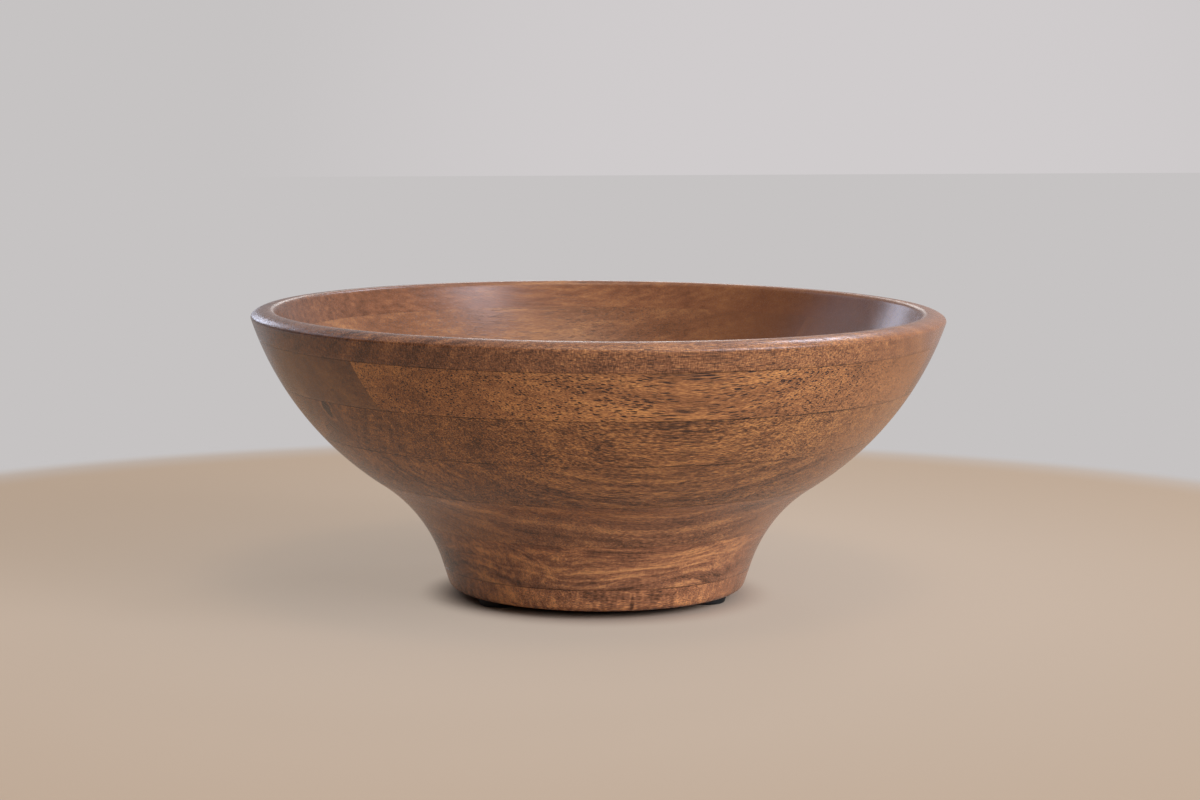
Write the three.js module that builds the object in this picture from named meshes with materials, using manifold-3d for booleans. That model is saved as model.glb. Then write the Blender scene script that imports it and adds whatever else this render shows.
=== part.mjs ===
// Wooden serving bowl, glued up from seven level courses of boards and turned on a lathe.
// Millimetres, +Z up. The grain of every board runs along X, so the boards of a course meet on
// planes of constant Y. The origin is the middle of the footprint, under the rubber pads.

import * as THREE from 'three';
import { mergeVertices, toCreasedNormals } from 'three/addons/utils/BufferGeometryUtils.js';
import Module from 'manifold-3d';

const wasm = await Module();
wasm.setup();

// Stack of boards, from the foot up
const footCourse = 9.8;         // what turning the foot leaves of the lowest board
const boardThickness = 20;      // the full courses between foot and rim
const rimCourse = 12;           // what turning the lip leaves of the top boards

// Turned outside
const bowlRadius = 150;         // at the outermost line of the lip
const rimLean = 18.4;           // degrees from upright, where the belly meets the lip
const bellyLow = 25.2;          // height above the foot at which the belly's circle would bottom out
const footFlatRadius = 61.2;    // the flat that the pads are stuck to
const footRound = 4;
const flankLean = 18;           // degrees from upright, of the straight band above the foot
const flankHeight = 11.2;

// Turned inside
const lipWall = 10.4;           // thickness of the wall just under the lip
const coveWall = 9.2;           // and where the belly turns into the cove

// Lip, a shallow crown between two rounded edges
const lipCrown = 10;
const lipCrest = 6.8;           // from the outermost line in to the highest one
const lipInnerRound = 3;
const lipOuterRound = 1.6;

// Rubber pads under the foot
const padRadius = 9.6;
const padThickness = 3.5;
const padTaper = 0.8;           // how much smaller the pad is at the table than at the wood
const padEdgeRound = 1;
const padInset = 10;            // from the edge of the foot's flat in to the pads' centres
const padAngles = { right: -38.5, left: -158.5, rear: 81.5 };     // degrees from +X

// Joints between the boards of a course, as distances from the axis along Y
const baseJoint = 18;
const coveJoint = 10;
const bellyJoint = 34;
const shoulderFrontJoint = 6;
const shoulderRearJoint = 88;
const wallFrontJoint = -81;
const wallRearJoint = 66;
const rimFrontJoint = 12;
const rimRearJoint = 96;

const shoulderJoints = [shoulderFrontJoint, shoulderRearJoint];
const wallJoints = [wallFrontJoint, wallRearJoint];
const rimJoints = [rimFrontJoint, rimRearJoint];

// Courses from the foot up
const courses = [
  { name: 'foot', thickness: footCourse, joints: [], color: 0x9a5f38 },
  { name: 'base', thickness: boardThickness, joints: [baseJoint], color: 0x7d4e33 },
  { name: 'cove', thickness: boardThickness, joints: [coveJoint], color: 0x80503a },
  { name: 'belly', thickness: boardThickness, joints: [bellyJoint], color: 0x885638 },
  { name: 'shoulder', thickness: boardThickness, joints: shoulderJoints, color: 0x7f5037 },
  { name: 'wall', thickness: boardThickness, joints: wallJoints, color: 0x925c3a },
  { name: 'rim', thickness: rimCourse, joints: rimJoints, color: 0x76492f },
];

// Facets of round stretches
const turnSteps = 88;
const padTurnSteps = 24;
const profileStep = 9;          // longest chord along the turned profile
const edgeSteps = 3;            // fewest chords on a rounded edge
const shortestStep = 0.8;       // a profile point this close to a glue plane is left out

const radians = THREE.MathUtils.degToRad;
const woodHeight = courses.reduce((height, course) => height + course.thickness, 0);
const boardColorShift = [0, 0.012, -0.014, 0.02];

// Circles of the turned profile, in a plane through the axis: x is the radius and y the height above
// the foot. Each follows from its neighbours by tangency, so a changed size carries the others along.

const crown = {
  radius: lipCrown,
  centre: new THREE.Vector2(bowlRadius - lipCrest, woodHeight - lipCrown),
};
const lipOuter = lipOuterCircle();

// The belly touches the lip's outer round from around it, at the rim's lean
const belly = bellyCircle();
const flankTop = flankPoint(flankHeight);
const cove = coveCircle();
const hollow = hollowCircle();
const floorHeight = hollow.centre.y - hollow.radius;
const lipInner = lipInnerCircle();

// The outer round lies inside the crown, and reaches out to the bowl's full radius
function lipOuterCircle() {
  const apart = lipCrown - lipOuterRound;
  const rise = Math.sqrt(apart ** 2 - (lipCrest - lipOuterRound) ** 2);
  const centre = new THREE.Vector2(bowlRadius - lipOuterRound, crown.centre.y + rise);
  return { radius: lipOuterRound, centre };
}

function bellyCircle() {
  const lean = radians(rimLean);
  const { centre, radius } = lipOuter;
  const bellyRadius = (centre.y - bellyLow - radius * Math.sin(lean)) / (1 - Math.sin(lean));
  const offset = bellyRadius - radius;
  return {
    radius: bellyRadius,
    centre: new THREE.Vector2(centre.x - offset * Math.cos(lean), centre.y + offset * Math.sin(lean)),
  };
}

// The hollow is one arc centred on the axis. It passes inside the belly at both ends, by the wall's
// thickness there, and runs on down to the middle of the floor.
function hollowCircle() {
  const upper = polarPoint(belly.centre, belly.radius - lipWall, -radians(rimLean));
  const lower = polarPoint(belly.centre, belly.radius - coveWall, direction(belly.centre, cove.centre));
  const height = (upper.lengthSq() - lower.lengthSq()) / (2 * (upper.y - lower.y));
  const centre = new THREE.Vector2(0, height);
  return { radius: centre.distanceTo(upper), centre };
}

// The inner round lies inside the crown too, and touches the hollow from outside. Its centre is where
// two circles cross: one about the hollow's centre and one about the crown's.
function lipInnerCircle() {
  const fromHollow = hollow.radius + lipInnerRound;
  const fromCrown = lipCrown - lipInnerRound;
  const toCrown = crown.centre.clone().sub(hollow.centre);
  const apart = toCrown.length();
  const turn = Math.acos((fromHollow ** 2 + apart ** 2 - fromCrown ** 2) / (2 * fromHollow * apart));
  return { radius: lipInnerRound, centre: polarPoint(hollow.centre, fromHollow, toCrown.angle() + turn) };
}

// A point on the straight band above the foot
function flankPoint(height) {
  const lean = radians(flankLean);
  const startRadius = footFlatRadius + footRound * Math.cos(lean);
  const startHeight = footRound * (1 - Math.sin(lean));
  return new THREE.Vector2(startRadius + (height - startHeight) * Math.tan(lean), height);
}

// The cove is hollow to the outside: it leaves the flank without a corner and ends touching the belly
function coveCircle() {
  const outwards = new THREE.Vector2(Math.cos(radians(flankLean)), -Math.sin(radians(flankLean)));
  const fromBelly = flankTop.clone().sub(belly.centre);
  const radius = (fromBelly.lengthSq() - belly.radius ** 2) / (2 * (belly.radius - fromBelly.dot(outwards)));
  return { radius, centre: flankTop.clone().addScaledVector(outwards, radius) };
}

// Polar angle of the direction from one point to another
function direction(from, to) {
  return Math.atan2(to.y - from.y, to.x - from.x);
}

// The point at a distance and a polar angle from a centre
function polarPoint(centre, radius, angle) {
  return new THREE.Vector2(centre.x + radius * Math.cos(angle), centre.y + radius * Math.sin(angle));
}

// The whole section, from the middle of the underside round the outside, over the lip and down to
// the middle of the floor
function turnedSection() {
  const crownOuter = direction(crown.centre, lipOuter.centre);
  const crownInner = direction(crown.centre, lipInner.centre);
  const footEdge = { centre: new THREE.Vector2(footFlatRadius, footRound), radius: footRound };
  const flankAngle = -radians(flankLean);
  const inflection = direction(belly.centre, cove.centre);
  const path = new THREE.Path();
  const sweep = ({ centre, radius }, from, to, clockwise = false) =>
    path.absarc(centre.x, centre.y, radius, from, to, clockwise);

  path.moveTo(0, 0);
  path.lineTo(footFlatRadius, 0);
  sweep(footEdge, -Math.PI / 2, flankAngle);
  path.lineTo(flankTop.x, flankTop.y);
  sweep(cove, flankAngle + Math.PI, inflection + Math.PI, true);
  sweep(belly, inflection, -radians(rimLean));
  sweep(lipOuter, -radians(rimLean), crownOuter);
  sweep(crown, crownOuter, Math.PI / 2);
  sweep(crown, Math.PI / 2, crownInner);
  sweep(lipInner, crownInner, direction(lipInner.centre, hollow.centre));
  sweep(hollow, direction(hollow.centre, lipInner.centre), -Math.PI / 2, true);
  return path;
}

// Points along a path, with chords short enough for its arcs
function sample(path) {
  const points = [];
  for (const curve of path.curves) {
    const steps = curve.isLineCurve ? 1 : Math.max(edgeSteps, Math.ceil(curve.getLength() / profileStep));
    points.push(...curve.getPoints(steps).slice(points.length ? 1 : 0));
  }
  return points;
}

const section = sample(turnedSection());
const crest = section.reduce((best, point, i) => (point.y > section[best].y ? i : best), 0);
const outside = section.slice(1, crest + 1);            // rises from the edge of the foot
const inside = section.slice(crest).reverse();          // rises from the middle of the floor

// Where a rising line of points crosses a level
function crossing(points, level) {
  const above = points.findIndex((point) => point.y >= level);
  if (above <= 0) return points.at(above).clone();
  const [low, high] = [points[above - 1], points[above]];
  const share = (level - low.y) / (high.y - low.y);
  return new THREE.Vector2(low.x + share * (high.x - low.x), level);
}

// The stretch of a rising line of points between two levels, ends included
function between(points, low, high) {
  const isGlued = (level) => level > 0 && level < woodHeight;
  const from = low + (isGlued(low) ? shortestStep : 0);
  const to = high - (isGlued(high) ? shortestStep : 0);
  const kept = points.filter((point) => point.y > from && point.y < to);
  return [crossing(points, low), ...kept, crossing(points, high)];
}

// Section of one course: a disc under the floor, a dish where the floor dips into it, or a ring
function courseSection(low, high) {
  const outer = between(outside, low, high);
  const bottom = new THREE.Vector2(0, low);
  if (high <= floorHeight) return [bottom, ...outer, new THREE.Vector2(0, high)];
  const inner = between(inside, Math.max(low, floorHeight), high).reverse();
  if (low < floorHeight) return [bottom, ...outer, ...inner];
  return [...outer, ...inner, outer[0]];
}

// Two equal points in a row would leave triangles without area
function withoutRepeats(points) {
  const repeats = (point, i) => i > 0 && point.distanceTo(points[i - 1]) < 1e-6;
  return points.filter((point, i) => !repeats(point, i));
}

function revolve(points, steps, height) {
  const geometry = new THREE.LatheGeometry(withoutRepeats(points), steps);
  geometry.rotateX(Math.PI / 2);
  geometry.translate(0, 0, height);
  return geometry;
}

// A closed geometry as a solid, with its shared vertices merged and its pole triangles closed up
function solid(geometry) {
  const bare = geometry.clone();
  bare.deleteAttribute('normal');
  bare.deleteAttribute('uv');
  const merged = mergeVertices(bare, 1e-4);
  const corners = merged.index.array;
  const triangles = [];
  for (let i = 0; i < corners.length; i += 3) {
    const [a, b, c] = corners.slice(i, i + 3);
    if (a !== b && b !== c && c !== a) triangles.push(a, b, c);
  }
  return new wasm.Manifold(new wasm.Mesh({
    numProp: 3,
    vertProperties: merged.attributes.position.array,
    triVerts: Uint32Array.from(triangles),
  }));
}

// A solid as a geometry that shades smooth round the turning and sharp at the glued edges
function geometryOf(manifold) {
  const { vertProperties, triVerts } = manifold.getMesh();
  const geometry = new THREE.BufferGeometry();
  geometry.setAttribute('position', new THREE.BufferAttribute(vertProperties, 3));
  geometry.setIndex(new THREE.BufferAttribute(triVerts, 1));
  return toCreasedNormals(geometry, radians(30));
}

// An upright block that holds all of the bowl between four planes
function block(xLow, xHigh, yLow, yHigh) {
  const corners = [[xLow, yLow], [xHigh, yLow], [xHigh, yHigh], [xLow, yHigh]];
  const outline = new THREE.Shape(corners.map(([x, y]) => new THREE.Vector2(x, y)));
  const depth = woodHeight + 2 * padThickness;
  return solid(new THREE.ExtrudeGeometry(outline, { depth, bevelEnabled: false }));
}

function woodMaterial(color, board) {
  const material = new THREE.MeshStandardMaterial({ color, roughness: 0.42, metalness: 0 });
  material.color.offsetHSL(0, 0, boardColorShift[board % boardColorShift.length]);
  return material;
}

// The boards of one course, cut apart at its joints. A board between two others loses its middle to
// the hollow, which leaves an arm on the left and one on the right.
function courseBoards(course, low, high) {
  const turned = solid(revolve(courseSection(low, high), turnSteps, padThickness));
  const reach = 2 * bowlRadius;
  const joints = course.joints;
  if (joints.length === 0) return [{ name: `${course.name}_board`, piece: turned }];
  const cut = (side, xLow, xHigh, yLow, yHigh) => ({
    name: `${course.name}_board_${side}`,
    piece: turned.intersect(block(xLow, xHigh, yLow, yHigh)),
  });
  const boards = [cut('front', -reach, reach, -reach, joints[0])];
  for (let i = 1; i < joints.length; i += 1) {
    boards.push(cut('left', -reach, 0, joints[i - 1], joints[i]));
    boards.push(cut('right', 0, reach, joints[i - 1], joints[i]));
  }
  boards.push(cut('rear', -reach, reach, joints.at(-1), reach));
  return boards;
}

function bowl() {
  const group = new THREE.Group();
  let low = 0;
  for (const course of courses) {
    const high = low + course.thickness;
    courseBoards(course, low, high).forEach(({ name, piece }, i) => {
      const mesh = new THREE.Mesh(geometryOf(piece), woodMaterial(course.color, i));
      mesh.name = name;
      group.add(mesh);
    });
    low = high;
  }
  return group;
}

// A soft disc, stuck to the wood by its wider face
function padGeometry() {
  const profile = new THREE.Path();
  const small = padRadius - padTaper;
  profile.moveTo(0, 0);
  profile.lineTo(small - padEdgeRound, 0);
  profile.absarc(small - padEdgeRound, padEdgeRound, padEdgeRound, -Math.PI / 2, 0);
  profile.lineTo(padRadius, padThickness);
  profile.lineTo(0, padThickness);
  return geometryOf(solid(revolve(sample(profile), padTurnSteps, 0)));
}

function pads() {
  const group = new THREE.Group();
  const circle = footFlatRadius - padInset;
  const rubber = new THREE.MeshStandardMaterial({ color: 0x17181a, roughness: 0.6, metalness: 0 });
  for (const [side, angle] of Object.entries(padAngles)) {
    const mesh = new THREE.Mesh(padGeometry(), rubber);
    mesh.name = `foot_pad_${side}`;
    mesh.position.set(circle * Math.cos(radians(angle)), circle * Math.sin(radians(angle)), 0);
    group.add(mesh);
  }
  return group;
}

const servingBowl = new THREE.Group();
servingBowl.name = 'serving_bowl';
servingBowl.add(bowl(), pads());

export default servingBowl;
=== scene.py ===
"""Wooden serving bowl: level courses of glued boards, turned on a lathe and oiled, on rubber pads."""

import math

import bpy
import numpy as np
from bpy.props import FloatProperty, FloatVectorProperty, PointerProperty
from mathutils import Matrix, Vector


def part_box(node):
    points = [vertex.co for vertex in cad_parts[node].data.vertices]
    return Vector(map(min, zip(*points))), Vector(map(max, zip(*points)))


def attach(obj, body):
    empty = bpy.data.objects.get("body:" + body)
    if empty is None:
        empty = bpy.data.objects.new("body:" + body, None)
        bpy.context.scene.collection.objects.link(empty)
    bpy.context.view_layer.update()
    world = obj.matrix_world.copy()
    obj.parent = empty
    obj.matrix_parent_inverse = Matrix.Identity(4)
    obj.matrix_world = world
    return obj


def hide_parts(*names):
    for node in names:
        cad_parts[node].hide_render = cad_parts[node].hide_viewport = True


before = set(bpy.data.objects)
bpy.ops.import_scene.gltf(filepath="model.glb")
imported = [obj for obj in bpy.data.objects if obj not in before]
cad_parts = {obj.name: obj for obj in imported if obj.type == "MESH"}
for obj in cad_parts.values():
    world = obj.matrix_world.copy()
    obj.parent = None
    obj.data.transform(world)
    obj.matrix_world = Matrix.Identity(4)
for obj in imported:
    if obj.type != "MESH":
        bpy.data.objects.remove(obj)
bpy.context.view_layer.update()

bl_info = {
    "name": "Laminated Wooden Serving Bowl",
    "version": (1, 0, 0),
    "blender": (4, 5, 0),
    "location": "3D Viewport > Sidebar > Bowl",
    "description": "Turns a serving bowl from glued courses of open-pored hardwood boards",
    "category": "Object",
}

MM = 0.001

# Courses from the foot up, with the boards of each, front to rear
COURSES = {
    "foot": ("",),
    "base": ("front", "rear"),
    "cove": ("front", "rear"),
    "belly": ("front", "rear"),
    "shoulder": ("front", "left", "right", "rear"),
    "wall": ("front", "left", "right", "rear"),
    "rim": ("front", "left", "right", "rear"),
}
PADS = ("right", "left", "rear")

# How fine the surfaces are: columns round the bowl, the most that a row may measure in length and in
# turning, and the points that the section's arcs and its straight flank start from
COLUMNS_PER_TURN = 320
FEWEST_COLUMNS = 8
LONGEST_ROW = 1.8 * MM
SHARPEST_ROW = math.radians(8)
FEWEST_ROWS = 2
ARC_STEP = 0.1 * MM
FEWEST_ARC_STEPS = 8
FLANK_POINTS = 40
SAME_POINT = 1e-7
SHARP_EDGE = math.radians(30)


def linear(hex_color):
    """The linear RGBA of an sRGB hex colour, by the standard's formula: each channel is divided by 12.92
    where it is dark, and else raised to the power of 2.4 after an offset of 0.055."""
    channels = [int(hex_color[i:i + 2], 16) / 255 for i in (0, 2, 4)]
    return tuple(c / 12.92 if c <= 0.04045 else ((c + 0.055) / 1.055) ** 2.4 for c in channels) + (1.0,)


def length(name, millimetres, description):
    return FloatProperty(
        name=name, description=description, default=millimetres * MM, min=0.0, unit="LENGTH", precision=4
    )


def lean(name, degrees, description):
    return FloatProperty(name=name, description=description, default=math.radians(degrees), unit="ROTATION")


def color(name, hex_color, description):
    return FloatVectorProperty(
        name=name, description=description, default=linear(hex_color), size=4, subtype="COLOR",
        min=0.0, max=1.0,
    )


class BowlTurningSizes(bpy.types.PropertyGroup):
    """Sizes of the turned section. Heights are above the underside of the foot."""

    bowl_radius: length("Bowl radius", 150, "Radius at the outermost line of the lip")
    rim_lean: lean("Rim lean", 18.4, "Lean from upright where the belly meets the lip")
    belly_low: length("Belly low", 25.2, "Height at which the belly's circle would bottom out")
    foot_flat_radius: length("Foot flat radius", 61.2, "Flat that the pads are stuck to")
    foot_round: length("Foot round", 4, "Radius of the edge round the foot's flat")
    flank_lean: lean("Flank lean", 18, "Lean from upright of the straight band above the foot")
    flank_height: length("Flank height", 11.2, "Height at which the straight band ends")
    lip_wall: length("Lip wall", 10.4, "Thickness of the wall just under the lip")
    cove_wall: length("Cove wall", 9.2, "Thickness where the belly turns into the cove")
    lip_crown: length("Lip crown", 10, "Radius of the crown between the lip's two edges")
    lip_crest: length("Lip crest", 6.8, "From the outermost line in to the highest one")
    lip_inner_round: length("Lip inner round", 3, "Radius of the lip's inner edge")
    lip_outer_round: length("Lip outer round", 1.6, "Radius of the lip's outer edge")
    arris: length("Arris", 0.06, "How far a board's edges are worn back at the glue lines")


class BowlPadSizes(bpy.types.PropertyGroup):
    """Sizes and colour of the rubber pads."""

    radius: length("Radius", 9.6, "Radius where the pad is stuck to the wood")
    taper: length("Taper", 0.8, "How much smaller the pad is at the table")
    edge_round: length("Edge round", 1, "Radius of the edge at the table")
    rubber: color("Rubber", "17181a", "Colour of the rubber")


class BowlWoodFinish(bpy.types.PropertyGroup):
    """Colours of the oiled wood, course by course, and how coarse its pores are."""

    foot: color("Foot", "b37753", "Mean colour of the foot board")
    base: color("Base", "aa7251", "Mean colour of the base boards")
    cove: color("Cove", "a47050", "Mean colour of the cove boards")
    belly: color("Belly", "966442", "Mean colour of the belly boards")
    shoulder: color("Shoulder", "996643", "Mean colour of the shoulder boards")
    wall: color("Wall", "a8714a", "Mean colour of the wall boards")
    rim: color("Rim", "936245", "Mean colour of the rim boards")
    pore: color("Pore", "221618", "Wax and dust in the open pores")
    glue_film: color("Glue film", "20130d", "Glue and dust in the joints")
    pore_pitch: length("Pore pitch", 0.9, "Mean distance between two pores across the grain")
    pore_length: length("Pore length", 19, "Mean distance between two pores along the grain")
    roughness: FloatProperty(
        name="Roughness", description="Roughness of the oiled surface", default=0.27, min=0.0, max=1.0,
        subtype="FACTOR",
    )


class BowlStageLook(bpy.types.PropertyGroup):
    """Camera, floor and background."""

    view_azimuth: lean("View azimuth", -14.5, "Where the camera stands, from the front towards the right")
    camera_distance: length("Camera distance", 1206.7, "From the bowl's axis, along the floor")
    camera_height: length("Camera height", 235.8, "Above the floor")
    camera_pitch: lean("Camera pitch", 7.132, "How far the camera looks down")
    camera_roll: lean("Camera roll", 0.40, "How far the camera is turned about its own axis")
    camera_aim: lean("Camera aim", 0.043, "How far the camera looks past the bowl's axis to the right")
    focal_length: FloatProperty(
        name="Focal length", description="Focal length of the lens, in millimetres, on a 36 mm sensor",
        default=83.67, min=1.0, unit="CAMERA",
    )
    floor: color("Floor", "bfac98", "Colour of the floor round the bowl")
    backdrop: color("Backdrop", "c6c3c3", "Colour beyond the floor")
    floor_reach: length("Floor reach", 455, "Radius at which the floor's colour fades into the backdrop's")


def glue_heights():
    """Heights of the glue planes and of the two ends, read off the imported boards."""
    lows = [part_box(nodes_of(course)[0])[0].z for course in COURSES]
    return lows + [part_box(nodes_of("rim")[0])[1].z]


def nodes_of(course):
    """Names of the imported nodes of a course's boards, in their order in COURSES."""
    return [f"{course}_board_{side}".rstrip("_") for side in COURSES[course]]


def polar(centre, radius, angle):
    """Point on a circle: its centre plus the radius times the angle's cosine and sine."""
    return np.asarray(centre) + radius * np.array((math.cos(angle), math.sin(angle)))


def bearing(start, end):
    """Polar angle from one point to another: the arc tangent of rise over run."""
    return math.atan2(end[1] - start[1], end[0] - start[0])


def arc(circle, start, end):
    """Points on a circle, spread evenly from one polar angle to another."""
    centre, radius = circle
    steps = max(int(abs(end - start) * radius / ARC_STEP), FEWEST_ARC_STEPS)
    angle = np.linspace(start, end, steps + 1)
    return centre + radius * np.column_stack((np.cos(angle), np.sin(angle)))


def turned_path(sizes, height):
    """The section from the edge of the foot's flat round the outside, over the lip and down to the
    middle of the floor, as (radius, height) points. Every arc touches its neighbours: the belly goes
    round the lip's outer edge, the cove leaves the straight flank and meets the belly, the hollow is
    one arc about the axis through two points that lie the wall's thickness inside the belly, and both
    edges of the lip lie inside its crown. Returns the points and the index of the highest."""
    crown = (np.array((sizes.bowl_radius - sizes.lip_crest, height - sizes.lip_crown)), sizes.lip_crown)
    across = sizes.lip_crest - sizes.lip_outer_round
    up = math.sqrt((sizes.lip_crown - sizes.lip_outer_round) ** 2 - across ** 2)
    outer_edge = (crown[0] + (across, up), sizes.lip_outer_round)
    tilt = math.sin(sizes.rim_lean)
    belly_radius = (outer_edge[0][1] - sizes.belly_low - outer_edge[1] * tilt) / (1 - tilt)
    belly = (polar(outer_edge[0], belly_radius - outer_edge[1], math.pi - sizes.rim_lean), belly_radius)

    foot_edge = (np.array((sizes.foot_flat_radius, sizes.foot_round)), sizes.foot_round)
    flank_start = polar(*foot_edge, -sizes.flank_lean)
    climb = sizes.flank_height - flank_start[1]
    flank_end = flank_start + climb * np.array((math.tan(sizes.flank_lean), 1))
    outwards = polar((0, 0), 1, -sizes.flank_lean)
    from_belly = flank_end - belly[0]
    cove_radius = (from_belly @ from_belly - belly[1] ** 2) / (2 * (belly[1] - from_belly @ outwards))
    cove = (flank_end + cove_radius * outwards, cove_radius)
    turn = bearing(belly[0], cove[0])

    upper = polar(belly[0], belly[1] - sizes.lip_wall, -sizes.rim_lean)
    lower = polar(belly[0], belly[1] - sizes.cove_wall, turn)
    rise = (upper @ upper - lower @ lower) / (2 * (upper[1] - lower[1]))
    hollow = (np.array((0, rise)), math.hypot(upper[0], upper[1] - rise))
    reach = hollow[1] + sizes.lip_inner_round
    apart = np.linalg.norm(crown[0] - hollow[0])
    swing = math.acos(
        (reach ** 2 + apart ** 2 - (crown[1] - sizes.lip_inner_round) ** 2) / (2 * reach * apart)
    )
    inner_edge = (polar(hollow[0], reach, bearing(hollow[0], crown[0]) + swing), sizes.lip_inner_round)
    to_outer, to_inner = bearing(crown[0], outer_edge[0]), bearing(crown[0], inner_edge[0])

    outside = np.concatenate([
        arc(foot_edge, -math.pi / 2, -sizes.flank_lean),
        np.linspace(flank_start, flank_end, FLANK_POINTS),
        arc(cove, math.pi - sizes.flank_lean, turn + math.pi),
        arc(belly, turn, -sizes.rim_lean),
        arc(outer_edge, -sizes.rim_lean, to_outer),
        arc(crown, to_outer, math.pi / 2),
    ])
    inside = np.concatenate([
        arc(crown, math.pi / 2, to_inner),
        arc(inner_edge, to_inner, bearing(inner_edge[0], hollow[0])),
        arc(hollow, bearing(hollow[0], inner_edge[0]), -math.pi / 2),
    ])
    points = np.concatenate((outside, inside))
    fresh = np.append(True, np.linalg.norm(np.diff(points, axis=0), axis=1) > SAME_POINT)
    return points[fresh], int(fresh[:len(outside)].sum()) - 1


def running_length(path):
    """Length along a path up to each of its points: the running sum of the steps between them."""
    return np.append(0, np.cumsum(np.linalg.norm(np.diff(path, axis=0), axis=1)))


def rows(path, first, last):
    """Points of a stretch of a path, between two lengths along it. They are spread evenly in a running
    sum of length and turning, so a tight round gets as many rows as it needs."""
    step = np.diff(path, axis=0)
    run = running_length(path)
    heading = np.unwrap(np.arctan2(step[:, 1], step[:, 0]))
    turning = np.append(0, np.cumsum(np.abs(np.diff(heading, prepend=heading[0]))))
    measure = run / LONGEST_ROW + turning / SHARPEST_ROW
    low, high = np.interp((first, last), run, measure)
    count = max(int(math.ceil(high - low)), FEWEST_ROWS)
    at = np.interp(np.linspace(low, high, count + 1), measure, run)
    return np.column_stack([np.interp(at, run, path[:, i]) for i in (0, 1)])


def course_rows(sizes, path, crest, low, high, total):
    """Outer rows, rising, and inner rows, falling, of one course. At a glue plane the outer rows stop
    short by the arris and end on the plane that far inside the wood, while the inner ones run from
    plane to plane. A course that lies under the hollow has no inner rows."""
    run = running_length(path)
    worn, floor = sizes.arris, path[-1, 1]
    bottom = low + worn if low > 0 else low
    top = high - worn if high < total else high

    def outer_run(level):
        return np.interp(level, path[:crest + 1, 1], run[:crest + 1])

    def inner_run(level):
        return np.interp(level, path[crest:, 1][::-1], run[crest:][::-1])

    outer = rows(path, outer_run(bottom), outer_run(top))
    if low > 0:
        outer = np.vstack(((outer[0, 0] - worn, low), outer))
    if high < total:
        outer = np.vstack((outer, (outer[-1, 0] - worn, high)))
    if high <= floor:
        return outer, None
    inner = rows(path, inner_run(high), inner_run(max(low, floor)))
    return outer, inner if high < total else inner[1:]


def edge_azimuth(radius, joint, side):
    """Azimuth at which circles about the axis cross the joint's plane: the arc sine of the joint's
    distance over the radius, mirrored for the left."""
    right = np.arcsin(joint / radius)
    return right if side == "right" else math.pi - right


def board_edges(course, side):
    """The two joints that a board reaches, anticlockwise, as (distance along Y, side of the bowl). The
    front and the rear board each reach across the bowl, and a left or right one lies between them."""
    if not side:
        return None
    near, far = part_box(f"{course}_board_front")[1].y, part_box(f"{course}_board_rear")[0].y
    if side == "front":
        return (near, "left"), (near, "right")
    if side == "rear":
        return (far, "right"), (far, "left")
    return ((near, side), (far, side)) if side == "right" else ((far, side), (near, side))


def carry_round(section, edges):
    """Carries section points about the axis, from one joint to the other. Each point has its own range
    of azimuths, so that every circle ends on the joints' planes. Returns (column, row, xyz)."""
    radius = section[:, 0]
    if edges is None:
        share = np.arange(COLUMNS_PER_TURN)[:, None] / COLUMNS_PER_TURN
        azimuth = 2 * math.pi * share + np.zeros_like(radius)
    else:
        start, end = (edge_azimuth(radius, *edge) for edge in edges)
        end = np.where(end < start, end + 2 * math.pi, end)
        span = (end - start).mean() / (2 * math.pi)
        count = max(int(span * COLUMNS_PER_TURN), FEWEST_COLUMNS)
        share = np.linspace(0, 1, count + 1)[:, None]
        azimuth = start + share * (end - start)
    height = np.broadcast_to(section[:, 1], azimuth.shape)
    return np.stack((radius * np.cos(azimuth), radius * np.sin(azimuth), height), axis=-1)


def quads(columns, row_count, closed_columns=False, closed_rows=False):
    """Faces between neighbouring columns and rows of a grid, seen from outside: each goes from a point
    to the next column, up a row, and back."""
    i = np.arange(columns if closed_columns else columns - 1)[:, None]
    j = np.arange(row_count if closed_rows else row_count - 1)[None, :]

    def corner(di, dj):
        return ((i + di) % columns) * row_count + (j + dj) % row_count

    return np.stack([corner(0, 0), corner(1, 0), corner(1, 1), corner(0, 1)], axis=-1).reshape(-1, 4)


def ring_board(outer, inner, edges):
    """A board of an open course: the closed section carried from joint to joint, with a flat face on
    each joint."""
    grid = carry_round(np.vstack((outer, inner)), edges)
    columns, row_count = grid.shape[:2]
    ends = [np.arange(row_count), (columns - 1) * row_count + np.arange(row_count)[::-1]]
    return grid.reshape(-1, 3), [quads(columns, row_count, closed_rows=True), *(e[None] for e in ends)]


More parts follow.
